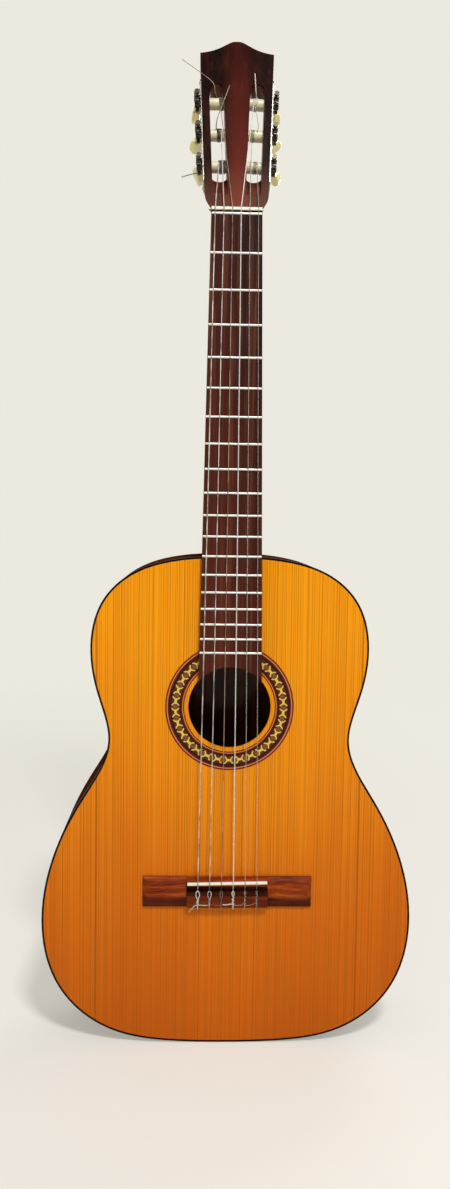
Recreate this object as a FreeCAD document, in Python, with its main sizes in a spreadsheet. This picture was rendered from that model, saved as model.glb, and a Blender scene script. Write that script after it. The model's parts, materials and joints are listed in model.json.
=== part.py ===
import FreeCAD, Part
import math
import os
import Sketcher
from FreeCAD import Placement, Rotation, Vector

# A classical guitar with a slotted headstock and three-on-a-plate machine heads.
# X points to the treble side, Z runs up the neck and the soundboard faces -Y.
# Z = 0 is the tail end of the body and the soundboard's face lies in the plane Y = 0.

doc = FreeCAD.newDocument("ClassicalGuitar")
sheet = doc.addObject("Spreadsheet::Sheet", "Sizes")

sizes = [
    # the instrument as a whole
    ("scale_length", 650, "zero fret to the saddle's nominal line"),
    ("body_length", 500, "tail to neck joint, which is at the 12th fret"),
    ("upper_width", 277, "upper bout"),
    ("upper_from_top", 91, "neck joint to the upper bout's widest line"),
    ("waist_width", 241, "waist"),
    ("waist_from_top", 184, "neck joint to the waist"),
    ("lower_width", 374.5, "lower bout"),
    ("lower_from_top", 366, "neck joint to the lower bout's widest line"),
    ("depth_at_neck", 92, "body depth at the neck joint"),
    ("depth_at_tail", 98, "body depth at the tail"),
    ("back_arch_radius", 4200, "cross arch of the back"),
    # body walls
    ("soundboard_thick", 2.6, "soundboard"),
    ("back_thick", 2.6, "back"),
    ("rib_thick", 2.0, "ribs, and width of the bindings"),
    ("binding_height", 5.0, "bindings down the ribs"),
    ("lining_width", 6.0, "linings"),
    ("lining_height", 14.0, "linings down the ribs"),
    ("hole_radius", 41.2, "sound hole"),
    ("hole_from_top", 150.5, "neck joint to the sound hole's centre"),
    ("rosette_inner", 45.2, "inner radius of the rosette"),
    ("rosette_outer", 64.2, "outer radius of the rosette"),
    ("rosette_depth", 0.8, "rosette let into the soundboard"),
    # inside the body
    ("bar_width", 7.0, "harmonic bars"),
    ("bar_height", 15.0, "harmonic bars in the middle"),
    ("bar_end_height", 4.0, "harmonic bars at their ends"),
    ("bar_taper", 45.0, "length of the thinned ends"),
    ("bar_offset", 71.0, "sound hole's centre to each harmonic bar"),
    ("fan_width", 5.0, "fan braces"),
    ("fan_height", 4.5, "fan braces"),
    ("fan_length", 200, "fan braces"),
    ("fan_gap", 12, "lower harmonic bar to the fan braces"),
    ("fan_pitch", 24, "between the fan braces' upper ends"),
    ("fan_angle", 6, "degrees from one fan brace to the next"),
    ("back_bar_width", 8.0, "back bars"),
    ("back_bar_height", 12.0, "back bars"),
    ("patch_thick", 1.6, "ring inside the sound hole"),
    ("patch_width", 20, "ring inside the sound hole"),
    ("block_width", 62, "neck block"),
    ("block_length", 26, "neck block"),
    ("foot_length", 58, "foot of the neck block on the back"),
    ("foot_height", 16, "foot of the neck block on the back"),
    ("tail_block_width", 58, "tail block"),
    ("tail_block_length", 16, "tail block"),
    # neck
    ("nut_width", 48.6, "fretboard at the zero fret"),
    ("board_width_at_joint", 58.8, "fretboard at the 12th fret"),
    ("board_thick", 6.5, "fretboard"),
    ("neck_thick_nut", 15.0, "neck near the nut, without the fretboard"),
    ("neck_thick_joint", 17.5, "neck before the heel, without the fretboard"),
    ("heel_reach", 62, "length of the heel's curve along the neck"),
    ("heel_point", 20, "heel's oval beyond the body's depth, where it is cut off flat"),
    ("heel_cap_thick", 2.2, "heel cap"),
    ("glue_line", 0.02, "neck to body"),
    ("zero_fret_gap", 3.0, "zero fret to the nut"),
    ("nut_thick", 2.4, "nut"),
    ("nut_proud", 2.0, "nut above the fretboard"),
    ("fret_width", 2.2, "fret crowns"),
    ("fret_height", 1.1, "fret crowns"),
    # headstock, in its own tilted frame that starts at the nut's upper edge
    ("head_angle", 15.8, "degrees"),
    ("head_length", 184, "nut to the crest"),
    ("head_thick", 18, "headstock without its veneer"),
    ("veneer_thick", 2.0, "veneer"),
    ("head_foot_width", 61, "above the shoulders"),
    ("head_foot", 13, "nut to the headstock's full thickness"),
    ("shoulder_height", 15, "nut to the straight sides, at the face"),
    ("shoulder_slope", 0.7, "rise of the shoulders towards the back, per depth"),
    ("throat_length", 24, "neck's blend into the headstock, below the nut"),
    ("head_tip_width", 73, "at the corners"),
    ("crest_height", 13.7, "corners to the crest"),
    ("slot_width", 14.5, "slots"),
    ("slot_length", 114, "slots"),
    ("slot_foot", 22, "nut to the lower end of the slots"),
    ("cheek", 7.5, "wood outside each slot"),
    ("ramp_angle", 32, "degrees, ramp at the lower end of each slot"),
    # machine heads, in a frame that lies on the headstock's side
    ("roller_first", 50.5, "nut to the first roller"),
    ("roller_spacing", 35, "between rollers"),
    ("roller_radius", 5.5, "rollers"),
    ("roller_tip", 6.0, "seat of the rollers in the middle strip"),
    ("roller_hole", 0.9, "radius of the string hole"),
    ("running_gap", 0.06, "radial clearance of turning pieces"),
    ("face_gap", 0.3, "end clearance of turning pieces"),
    ("plate_thick", 1.0, "plates"),
    ("plate_width", 17.5, "plates"),
    ("plate_margin", 24, "plate beyond the first and last roller"),
    ("plate_screw_radius", 2.4, "heads of the plates' screws"),
    ("gear_module", 0.8, "worm wheels"),
    ("gear_teeth", 16, "worm wheels"),
    ("gear_width", 3.2, "worm wheels"),
    ("worm_pitch_radius", 2.4, "worms"),
    ("worm_length", 9.0, "worms"),
    ("mesh_play", 0.24, "play between thread and teeth"),
    ("spindle_radius", 3.0, "wheel hubs through the plate"),
    ("wheel_screw_radius", 3.2, "screw head on each wheel"),
    ("shaft_radius", 1.6, "worm shafts"),
    ("collar_radius", 2.5, "collars on the worm shafts"),
    ("collar_length", 1.6, "collars on the worm shafts"),
    ("bracket_thick", 1.3, "brackets"),
    ("bracket_width", 6.0, "brackets"),
    ("button_start", 17, "button behind the plate's middle line"),
    ("button_length", 14.5, "buttons along the shaft"),
    ("button_width", 17, "buttons across the shaft"),
    ("button_thick", 7.5, "buttons"),
    # bridge
    ("bridge_width", 170.8, "bridge over both wings"),
    ("bridge_length", 31, "bridge along the strings"),
    ("bridge_middle", 81.5, "middle block"),
    ("bridge_height", 8.6, "middle block"),
    ("wing_height", 6.0, "ridge of the wings"),
    ("wing_edge", 2.6, "edges of the wings"),
    ("wing_bevel", 5.0, "bevelled ends of the wings"),
    ("saddle_setback", 3.0, "saddle beyond the nominal string length"),
    ("saddle_from_front", 4.1, "bridge's upper edge to the saddle's middle"),
    ("saddle_thick", 2.8, "saddle"),
    ("saddle_width", 80, "saddle"),
    ("saddle_proud", 2.6, "saddle above the bridge"),
    ("saddle_depth", 4.0, "saddle's slot"),
    ("saddle_slant", 1.2, "degrees, bass side farther from the nut"),
    ("channel_height", 4.0, "floor between saddle and tie block"),
    ("tie_start", 13.5, "bridge's upper edge to the tie block"),
    ("tie_hole_height", 5.4, "string holes above the soundboard"),
    ("tie_hole_radius", 0.9, "string holes"),
    ("tie_eye", 7.0, "tie block's ridge to the string's wrapped end"),
    # strings
    ("spacing_at_nut", 8.2, "between strings"),
    ("spacing_at_saddle", 11.86, "between strings"),
    ("string_seat", 0.04, "string to what it bears on"),
    ("tie_slack", 0.3, "string to the tie block's rear face"),
    ("tie_rise", 1.2, "string's slanted run beyond the tie block"),
]
for row, (alias, value, note) in enumerate(sizes, start=1):
    sheet.set(f"A{row}", alias.replace("_", " "))
    sheet.set(f"B{row}", str(value))
    sheet.setAlias(f"B{row}", alias)
    sheet.set(f"C{row}", note)
doc.recompute()


def size(alias):
    return float(sheet.get(alias))


# radius of each string, bass to treble, and its place across its roller as a share of the slot
stringRadii = [0.55, 0.45, 0.38, 0.52, 0.41, 0.36]
rollerShares = [0.50, 0.28, 0.30, 0.30, 0.22, 0.66]
# rest angle of each key in degrees: three on the treble side, then three on the bass side
keyAngles = [20, 140, 65, 110, 35, 75]

neckLength = size("scale_length") / 2
zeroZ = size("body_length") + neckLength
frontY = 0.0
boardY = -size("board_thick")
holeZ = size("body_length") - size("hole_from_top")
nutTopZ = zeroZ + size("zero_fret_gap") + size("nut_thick")
saddleZ = size("body_length") - size("scale_length") / 2 - size("saddle_setback")
bridgeTopZ = saddleZ + size("saddle_from_front")
pieces = []


# ---------------------------------------------------------------- helpers

def keep(item, label, placement=None):
    """Note a finished piece under the name of its file."""
    item.Label = label
    if placement:
        item.Placement = placement
    pieces.append(item)
    return item


def feature(label, shape, placement=None):
    item = doc.addObject("Part::Feature", label + "_shape")
    item.Shape = shape
    return keep(item, label, placement)


def primitive(kind, name, at=("0", "0", "0"), turn=None, **bindings):
    """A Part primitive whose sizes and place are expressions on the sheet."""
    item = doc.addObject("Part::" + kind, name)
    if turn:
        item.Placement = Placement(Vector(), Rotation(*turn))
    for prop, text in bindings.items():
        item.setExpression(prop, text)
    for axis, text in zip("xyz", at):
        item.setExpression("Placement.Base." + axis, text)
    return item


def cut(name, base, tool):
    item = doc.addObject("Part::Cut", name)
    item.Base = base
    item.Tool = tool
    return item


def fuse(name, items):
    item = doc.addObject("Part::MultiFuse", name)
    item.Shapes = items
    return item


def newBody(label):
    return doc.addObject("PartDesign::Body", label + "_body")


def originPlane(body, role):
    return next(item for item in body.Origin.OriginFeatures if item.Role == role)


def sketchOn(body, name, role, offset=None):
    sketch = body.newObject("Sketcher::SketchObject", name)
    sketch.AttachmentSupport = [(originPlane(body, role), "")]
    sketch.MapMode = "FlatFace"
    if offset:
        sketch.setExpression("AttachmentOffset.Base.z", offset)
    return sketch


def holdPoint(sketch, geo, pos, name, across, up):
    """Tie a sketch point to two expressions."""
    for kind, axis, text in (("DistanceX", -2, across), ("DistanceY", -1, up)):
        if text == "0":
            sketch.addConstraint(Sketcher.Constraint("PointOnObject", geo, pos, axis))
            continue
        value = float(sheet.evalExpression(text))
        index = sketch.addConstraint(Sketcher.Constraint(kind, -1, 1, geo, pos, value))
        sketch.renameConstraint(index, name + kind[-1])
        sketch.setExpression("Constraints." + name + kind[-1], text)


def drawPolygon(sketch, corners):
    """A closed outline of straight lines, each corner a pair of expressions."""
    spots = [Vector(float(sheet.evalExpression(x)), float(sheet.evalExpression(y)), 0)
             for x, y in corners]
    count = len(spots)
    first = sketch.GeometryCount
    for k in range(count):
        sketch.addGeometry(Part.LineSegment(spots[k], spots[(k + 1) % count]))
    for k in range(count):
        sketch.addConstraint(Sketcher.Constraint("Coincident", first + k, 2, first + (k + 1) % count, 1))
    for k, (x, y) in enumerate(corners):
        holdPoint(sketch, first + k, 1, f"corner{first + k}", x, y)


def drawCircle(sketch, x, y, radius):
    middle = Vector(float(sheet.evalExpression(x)), float(sheet.evalExpression(y)), 0)
    geo = sketch.addGeometry(Part.Circle(middle, Vector(0, 0, 1), float(sheet.evalExpression(radius))))
    index = sketch.addConstraint(Sketcher.Constraint("Radius", geo, float(sheet.evalExpression(radius))))
    sketch.renameConstraint(index, f"radius{geo}")
    sketch.setExpression(f"Constraints.radius{geo}", radius)
    holdPoint(sketch, geo, 3, f"centre{geo}", x, y)


def pad(body, name, sketch, length, middle=False, back=False):
    item = body.newObject("PartDesign::Pad", name)
    item.Profile = sketch
    item.setExpression("Length", length)
    item.Midplane = middle
    item.Reversed = back
    return item


def pocket(body, name, sketch, length=None, back=False, middle=False):
    item = body.newObject("PartDesign::Pocket", name)
    item.Profile = sketch
    item.Reversed = back
    item.Midplane = middle
    if length:
        item.setExpression("Length", length)
    else:
        item.Type = "ThroughAll"
    return item


# ---------------------------------------------------------------- body outline

def between(start, end, shares):
    return [(start[0] + (end[0] - start[0]) * across, start[1] + (end[1] - start[1]) * along)
            for across, along in shares]


def bodyStations():
    """Half widths of the body against the distance from the neck joint."""
    top = (0.0, 0.0)
    upper = (size("upper_width") / 2, size("upper_from_top"))
    waist = (size("waist_width") / 2, size("waist_from_top"))
    lower = (size("lower_width") / 2, size("lower_from_top"))
    tail = (0.0, size("body_length"))
    stations = [top] + between(top, upper, [(0.42, 0.045), (0.755, 0.24), (0.916, 0.5)])
    stations += [upper] + between(upper, waist, [(0.43, 0.53)])
    stations += [waist] + between(waist, lower, [(0.42, 0.346), (0.83, 0.665)])
    stations += [lower] + between(lower, tail, [(0.09, 0.552), (0.2, 0.74), (0.4, 0.91), (0.68, 0.986)])
    return stations + [tail]


def spline(points, start, end):
    curve = Part.BSplineCurve()
    curve.interpolate(Points=points, InitialTangent=start, FinalTangent=end)
    return curve


def mirroredLoop(points):
    """Closed smooth curve through right-hand points and their mirror images."""
    loop = points + [Vector(-p.x, p.y, p.z) for p in points[-2:0:-1]]
    curve = Part.BSplineCurve()
    curve.interpolate(loop, PeriodicFlag=True)
    return curve


outerPoints = [Vector(x, 0, size("body_length") - along) for x, along in bodyStations()]
outerCurve = mirroredLoop(outerPoints)
tailParameter = outerCurve.parameter(outerPoints[-1])


def bodyFace(inset):
    """Flat shape of the body, its edge moved inwards."""
    curve = outerCurve
    if inset:
        steps = 26
        points = []
        for k in range(steps + 1):
            u = tailParameter * k / steps
            tangent = outerCurve.tangent(u)[0]
            points.append(outerCurve.value(u) + Vector(tangent.z, 0, -tangent.x) * inset)
        points[0].x = points[-1].x = 0
        curve = mirroredLoop(points)
    return Part.Face(Part.Wire([curve.toShape()]))


def bodyPrism(inset, fromY, toY):
    face = bodyFace(inset)
    face.translate(Vector(0, fromY, 0))
    return face.extrude(Vector(0, toY - fromY, 0))


def ringPrism(outer, inner, fromY, toY):
    return bodyPrism(outer, fromY, toY).cut(bodyPrism(inner, fromY - 1, toY + 1))


def inFrontOfBack(inset):
    """All that lies in front of the back's arched face, moved forwards by inset."""
    length = size("body_length")
    rise = size("depth_at_tail") - size("depth_at_neck")
    radius = size("back_arch_radius")
    depth = (size("depth_at_tail") + size("depth_at_neck")) / 2
    barrel = Part.makeCylinder(radius - inset, 2 * length, Vector(0, 0, -length))
    barrel.Placement = Placement(Vector(0, frontY + depth - radius, length / 2),
                                 Rotation(Vector(1, 0, 0), math.degrees(math.atan(rise / length))))
    return barrel


def slab(width, fromY, toY, fromZ, toZ, x=0):
    return Part.makeBox(width, toY - fromY, toZ - fromZ, Vector(x - width / 2, fromY, fromZ))


rib = size("rib_thick")
lining = size("lining_width")
# cutters and rough blocks reach at least this far past what they shape
spare = 20
farY = frontY + size("depth_at_tail") + spare
innerY = frontY + size("soundboard_thick")
middleY = frontY + size("depth_at_neck") / 2


# ---------------------------------------------------------------- body

def makeBlocks():
    top = size("body_length") - rib
    inside = bodyPrism(rib, innerY, farY).common(inFrontOfBack(size("back_thick")))
    block = slab(size("block_width"), innerY, farY, top - size("block_length"), top + 1)
    footShell = inFrontOfBack(0).cut(inFrontOfBack(size("back_thick") + size("foot_height")))
    foot = slab(size("block_width"), innerY, farY, top - size("foot_length"), top + 1).common(footShell)
    neckBlock = block.fuse(foot).common(inside).removeSplitter()
    tailBox = slab(size("tail_block_width"), innerY, farY, 0, rib + size("tail_block_length"))
    tailBlock = tailBox.common(inside)
    feature("neck_block", neckBlock)
    feature("tail_block", tailBlock)
    return neckBlock, tailBlock


def makeBodyWalls(blocks):
    back = size("back_thick")
    bind = size("binding_height")
    hole = Part.makeCylinder(size("hole_radius"), 2 * spare, Vector(0, frontY - spare, holeZ), Vector(0, 1, 0))

    def washer(inner, outer, fromY, toY):
        big = Part.makeCylinder(outer, toY - fromY, Vector(0, fromY, holeZ), Vector(0, 1, 0))
        return big.cut(Part.makeCylinder(inner, toY - fromY, Vector(0, fromY, holeZ), Vector(0, 1, 0)))

    rosette = washer(size("rosette_inner"), size("rosette_outer"), frontY, frontY + size("rosette_depth"))
    feature("soundboard", bodyPrism(rib, frontY, innerY).cut(hole).cut(rosette))
    feature("rosette", rosette)
    feature("binding_front", ringPrism(0, rib, frontY, frontY + bind))

    backShell = inFrontOfBack(0).cut(inFrontOfBack(back))
    feature("back", bodyPrism(rib, middleY, farY).common(backShell))
    feature("binding_back", ringPrism(0, rib, middleY, farY)
            .common(inFrontOfBack(0).cut(inFrontOfBack(bind))))
    ribs = ringPrism(0, rib, frontY + bind, farY).common(inFrontOfBack(bind))
    room = size("lower_width")
    for side, name in ((-1, "rib_left"), (1, "rib_right")):
        half = slab(room, frontY, farY, -1, size("body_length") + 1, side * room / 2)
        feature(name, ribs.common(half))

    frontLining = ringPrism(rib, rib + lining, innerY, innerY + size("lining_height"))
    backLining = ringPrism(rib, rib + lining, middleY, farY).common(
        inFrontOfBack(back).cut(inFrontOfBack(back + size("lining_height"))))
    for block in blocks:
        frontLining = frontLining.cut(block)
        backLining = backLining.cut(block)
    feature("lining_front", frontLining)
    feature("lining_back", backLining)
    feature("sound_hole_ring", washer(size("hole_radius") + 1, size("hole_radius") + 1 + size("patch_width"),
                                      innerY, innerY + size("patch_thick")))


def halfWidthAt(z, inset):
    line = Part.makeLine(Vector(0, 0, z), Vector(size("lower_width"), 0, z))
    return line.common(bodyFace(inset)).BoundBox.XMax


def makeBraces():
    inset = rib + lining + 0.2
    bars = []
    for z in (holeZ + size("bar_offset"), holeZ - size("bar_offset")):
        wide, tall, low = size("bar_width"), size("bar_height"), size("bar_end_height")
        reach = min(halfWidthAt(z - wide / 2, inset), halfWidthAt(z + wide / 2, inset))
        shoulder = reach - size("bar_taper")
        outline = [(reach, 0), (reach, low), (shoulder, tall), (-shoulder, tall), (-reach, low), (-reach, 0)]
        corners = [Vector(x, innerY + y, z - wide / 2) for x, y in outline]
        bars.append(Part.Face(Part.makePolygon(corners + corners[:1])).extrude(Vector(0, 0, wide)))
    feature("harmonic_bars", Part.makeCompound(bars))

    fans = []
    top = holeZ - size("bar_offset") - size("bar_width") / 2 - size("fan_gap")
    for k in range(-2, 3):
        brace = slab(size("fan_width"), innerY, innerY + size("fan_height"), -size("fan_length"), 0)
        brace.Placement = Placement(Vector(k * size("fan_pitch"), 0, top),
                                    Rotation(Vector(0, 1, 0), -k * size("fan_angle")))
        fans.append(brace)
    feature("fan_braces", Part.makeCompound(fans))

    backBars = []
    shell = inFrontOfBack(size("back_thick")).cut(
        inFrontOfBack(size("back_thick") + size("back_bar_height")))
    for z in (size("lower_from_top") * 0.28, size("body_length") - size("waist_from_top") * 1.22,
              size("body_length") - size("upper_from_top") * 1.15):
        wide = size("back_bar_width")
        reach = min(halfWidthAt(z - wide / 2, inset), halfWidthAt(z + wide / 2, inset))
        backBars.append(slab(2 * reach, middleY, farY, z - wide / 2, z + wide / 2).common(shell))
    feature("back_bars", Part.makeCompound(backBars))


# ---------------------------------------------------------------- neck and headstock

def boardWidth(z):
    """Width of the fretboard at a height."""
    slope = (size("board_width_at_joint") - size("nut_width")) / neckLength
    return size("nut_width") + slope * (zeroZ - z)


def neckSection(width, depth, power, placement):
    """Flat-topped cross-section: a straight line closed by half a rounded oval."""
    steps = 8
    points = []
    for k in range(2 * steps + 1):
        angle = math.pi / 2 * k / steps
        c, s = math.cos(angle), math.sin(angle)
        x = width / 2 * math.copysign(abs(c) ** (2 / power), c)
        points.append(Vector(x, depth * abs(s) ** (2 / power), 0))
    points[0].y = points[-1].y = 0
    curve = Part.BSplineCurve()
    curve.interpolate(points)
    wire = Part.Wire([curve.toShape(), Part.makeLine(points[-1], points[0])])
    wire.Placement = placement
    return wire


def upright(z):
    return Placement(Vector(0, frontY, z), Rotation())


headFrame = Placement(Vector(0, frontY, nutTopZ), Rotation(Vector(1, 0, 0), -size("head_angle")))
cornerZ = size("head_length") - size("crest_height")
sideLean = math.degrees(math.atan((size("head_tip_width") - size("head_foot_width")) / 2
                                  / (cornerZ - size("head_foot"))))
sideX = size("head_foot_width") / 2 - size("head_foot") * math.tan(math.radians(sideLean))
sideFrame = headFrame.multiply(Placement(
    Vector(sideX, (size("head_thick") - size("veneer_thick")) / 2, 0),
    Rotation(Vector(0, 1, 0), sideLean)))
rollerZs = [size("roller_first") + k * size("roller_spacing") for k in range(3)]


# depth of the heel along its reach, as shares, from the body outwards
heelFall = [(0.0, 1.0), (0.17, 0.93), (0.33, 0.8), (0.45, 0.56), (0.58, 0.31), (0.76, 0.1), (1.0, 0.0)]


def heelShape():
    """Loft from the neck's oval to the tall, narrow foot of the heel."""
    joint = size("body_length")
    reach = size("heel_reach")
    thick = size("neck_thick_joint")
    deep = size("depth_at_neck") + size("heel_point")
    sections = []
    for share, fall in heelFall:
        depth = thick + (deep - thick) * fall
        power = 1.75 + 0.55 * share
        z = joint + reach * share
        sections.append(neckSection(boardWidth(z), depth, power, upright(z)))
    return Part.makeLoft(sections, True, False)


def headHalfWidth(z):
    """Half the width between the headstock's straight sides, which lean outwards."""
    return size("head_foot_width") / 2 + (z - size("head_foot")) * math.tan(math.radians(sideLean))


def headOutline(fromZ):
    """Right half of the headstock's outline, from its foot to the crest."""
    tip, crest = size("head_length"), size("crest_height")
    foot = headHalfWidth(fromZ)
    half = size("head_tip_width") / 2
    curve = spline([Vector(half, 0, tip - crest), Vector(half * 0.67, 0, tip - crest * 0.8),
                    Vector(half * 0.44, 0, tip - crest * 0.52), Vector(half * 0.17, 0, tip - crest * 0.09),
                    Vector(0, 0, tip)], Vector(-1, 0, 0.12), Vector(-1, 0, 0))
    side = Part.makeLine(Vector(foot, 0, fromZ), Vector(half, 0, tip - crest))
    return [side, curve.toShape()]


def headSlab(fromZ, fromY, toY):
    right = headOutline(fromZ)
    left = [edge.mirror(Vector(), Vector(1, 0, 0)) for edge in right]
    foot = right[0].Vertexes[0].Point
    base = Part.makeLine(foot, Vector(-foot.x, 0, foot.z))
    face = Part.Face(Part.Wire(Part.__sortEdges__(right + left + [base])))
    face.translate(Vector(0, fromY, 0))
    return face.extrude(Vector(0, toY - fromY, 0))


def bothSides(shape):
    """A shape made in the side frame, with its mirror image, in the headstock's frame."""
    placed = shape.copy()
    placed.Placement = headFrame.inverse().multiply(sideFrame).multiply(placed.Placement)
    return [placed, placed.mirror(Vector(), Vector(1, 0, 0))]


def inHead(shape):
    """A shape made in the headstock's frame, in the guitar's."""
    placed = shape.copy()
    placed.Placement = headFrame.multiply(placed.Placement)
    return placed


def headCuts():
    """Slots, their ramps and the rollers' holes, in the headstock's frame."""
    wide, radius = size("slot_width"), size("slot_width") / 2
    low, high = size("slot_foot"), size("slot_foot") + size("slot_length")
    middle = -size("cheek") - radius
    deep = size("head_thick")
    slot = Part.makeBox(wide, 4 * deep, high - low - wide, Vector(middle - radius, -2 * deep, low + radius))
    for z in (low + radius, high - radius):
        slot = slot.fuse(Part.makeCylinder(radius, 4 * deep, Vector(middle, -2 * deep, z), Vector(0, 1, 0)))
    rampBox = Part.makeBox(wide, deep, 3 * deep, Vector(-radius, -deep, 0))
    rampBox.Placement = Placement(Vector(middle, 0, low - 2), Rotation(Vector(1, 0, 0), size("ramp_angle")))
    rampBox = rampBox.common(Part.makeBox(2 * wide, 4 * deep, radius + 20,
                                          Vector(middle - wide, -2 * deep, low - 18)))
    holes = []
    length = size("cheek") + wide + size("roller_tip")
    for z in rollerZs:
        holes.append(Part.makeCylinder(size("roller_radius") + size("running_gap"), length + 5,
                                       Vector(5, 0, z), Vector(-1, 0, 0)))
    return [bothSides(slot), bothSides(rampBox), [item for hole in holes for item in bothSides(hole)]]


def shoulderCuts():
    """Wood outside the shoulders, whose curve rises towards the headstock's back."""
    low, high = boardWidth(nutTopZ) / 2, headHalfWidth(size("shoulder_height"))
    top = size("shoulder_height")
    curve = spline([Vector(low, 0, 0), Vector(low + (high - low) * 0.68, 0, top * 0.5), Vector(high, 0, top)],
                   Vector(0.5, 0, 1), Vector(0.1, 0, 1))
    outside = high + size("head_thick")
    far = Part.makePolygon([Vector(high, 0, top), Vector(outside, 0, top), Vector(outside, 0, 0),
                            Vector(low, 0, 0)])
    face = Part.Face(Part.Wire([curve.toShape()] + far.Edges))
    through = Vector(0, 1, size("shoulder_slope")) * (size("head_thick") + 4 * size("veneer_thick"))
    face.translate(Vector(0, 1, size("shoulder_slope")) * -2 * size("veneer_thick"))
    right = face.extrude(through)
    return [right, right.mirror(Vector(), Vector(1, 0, 0))]


def makeNeck():
    cuts = headCuts()
    shoulders = shoulderCuts()
    joint, reach = size("body_length"), size("heel_reach")
    thin = size("neck_thick_nut")
    bottom = joint + reach
    run = nutTopZ - size("throat_length")
    shaft = Part.makeLoft([neckSection(boardWidth(bottom), size("neck_thick_joint"), 2.3, upright(bottom)),
                           neckSection(boardWidth(run), thin, 2.3, upright(run))], True, True)
    footPlace = headFrame.multiply(Placement(Vector(0, 0, size("head_foot")), Rotation()))
    throat = Part.makeLoft([neckSection(boardWidth(run), thin, 2.3, upright(run)),
                            neckSection(boardWidth(nutTopZ), thin + 1.2, 2.8, headFrame),
                            neckSection(size("head_foot_width"), size("head_thick"), 7.0, footPlace)],
                           True, True)
    head = headSlab(size("head_foot"), 0, size("head_thick"))
    for group in cuts:
        for tool in group:
            head = head.cut(tool)
            if group is cuts[1]:
                throat = throat.cut(inHead(tool))
    for tool in shoulders:
        head = head.cut(tool)
        throat = throat.cut(inHead(tool))
    head.Placement = headFrame
    capY = frontY + size("depth_at_neck")
    heel = heelShape()
    wide = 2 * boardWidth(joint)
    behind = slab(wide, capY, capY + 2 * size("heel_point"), joint - 1, joint + reach + 1)
    capZone = slab(wide, capY - size("heel_cap_thick"), capY, joint - 1, joint + reach + 1)
    body = bodyPrism(-size("glue_line"), frontY - 1, farY)
    feature("heel_cap", heel.common(capZone).cut(body))
    wood = heel.cut(behind).cut(capZone).fuse([shaft, throat, head]).cut(body).removeSplitter()
    feature("neck", wood)

    veneer = headSlab(0, -size("veneer_thick"), 0)
    for tool in cuts[0] + cuts[1] + shoulders:
        veneer = veneer.cut(tool)
    feature("headstock_veneer", veneer, headFrame)


def makeFretboard():
    """Tapered board whose lower end follows the sound hole."""
    body = newBody("fretboard")
    sketch = sketchOn(body, "fretboard_outline", "XZ_Plane")
    topZ = "(Sizes.body_length + Sizes.scale_length / 2 + Sizes.zero_fret_gap)"
    lowZ = "(Sizes.body_length - Sizes.hole_from_top)"
    slope = "((Sizes.board_width_at_joint - Sizes.nut_width) / Sizes.scale_length)"
    high = f"(Sizes.nut_width / 2 - {slope} * Sizes.zero_fret_gap)"
    wide = f"(Sizes.nut_width / 2 + {slope} * (Sizes.scale_length / 2 + Sizes.hole_from_top))"
    drawPolygon(sketch, [(f"-{high}", topZ), (high, topZ), (wide, lowZ), (f"-{wide}", lowZ)])
    pad(body, "fretboard_pad", sketch, "Sizes.board_thick")
    arc = sketchOn(body, "fretboard_end", "XZ_Plane")
    drawCircle(arc, "0", lowZ, "Sizes.hole_radius")
    pocket(body, "fretboard_arc", arc, middle=True)
    return keep(body, "fretboard")


def makeFrets():
    """Zero fret and eighteen frets: low crowns across the board, spaced by the twelve-tone rule."""
    wide, tall = size("fret_width"), size("fret_height")
    frets = []
    for number in range(19):
        z = zeroZ - size("scale_length") * (1 - 2 ** (-number / 12))
        half = boardWidth(z) / 2 - 0.4
        start = Vector(-half, boardY, z - wide / 2)
        top = Vector(-half, boardY - tall, z)
        end = Vector(-half, boardY, z + wide / 2)
        crown = Part.Wire([Part.Arc(start, top, end).toShape(), Part.makeLine(end, start)])
        frets.append(Part.Face(crown).extrude(Vector(2 * half, 0, 0)))
    feature("frets", Part.makeCompound(frets))


def stringPlace(k):
    """Offset of a string from the middle, in string spacings; string 0 is the bass."""
    return k - 2.5


def makeNut():
    """White nut beyond the zero fret, with a groove for each string."""
    low = "Sizes.body_length + Sizes.scale_length / 2 + Sizes.zero_fret_gap"
    block = primitive("Box", "nut_block",
                      ("-Sizes.nut_width / 2 + 0.2", "-Sizes.board_thick - Sizes.nut_proud", low),
                      Length="Sizes.nut_width - 0.4", Width="Sizes.nut_proud + Sizes.board_thick",
                      Height="Sizes.nut_thick")
    grooves = []
    for k, radius in enumerate(stringRadii):
        groove = primitive("Box", f"nut_groove_{6 - k}",
                           (f"{stringPlace(k)} * Sizes.spacing_at_nut - {radius + 0.15}",
                            "-Sizes.board_thick - Sizes.nut_proud - 1", low + " - 1"),
                           Length=f"{2 * radius + 0.3}", Width="Sizes.nut_proud + 1",
                           Height="Sizes.nut_thick + 2")
        grooves.append(groove)
    keep(cut("nut_cut", block, fuse("nut_grooves", grooves)), "nut")


# ---------------------------------------------------------------- machine heads

wormOuter = size("worm_pitch_radius") + 0.8 * size("gear_module")
shaftX = size("plate_thick") + size("face_gap") + wormOuter
wheelRadius = size("gear_module") * size("gear_teeth") / 2
centreDistance = wheelRadius + size("worm_pitch_radius")
threadPitch = math.pi * size("gear_module")
pressure = math.tan(math.radians(20))


def flankHalf(offset):
    """Half thickness of a tooth or thread at a height above its pitch line."""
    return threadPitch / 4 - size("mesh_play") / 2 - offset * pressure


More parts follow.
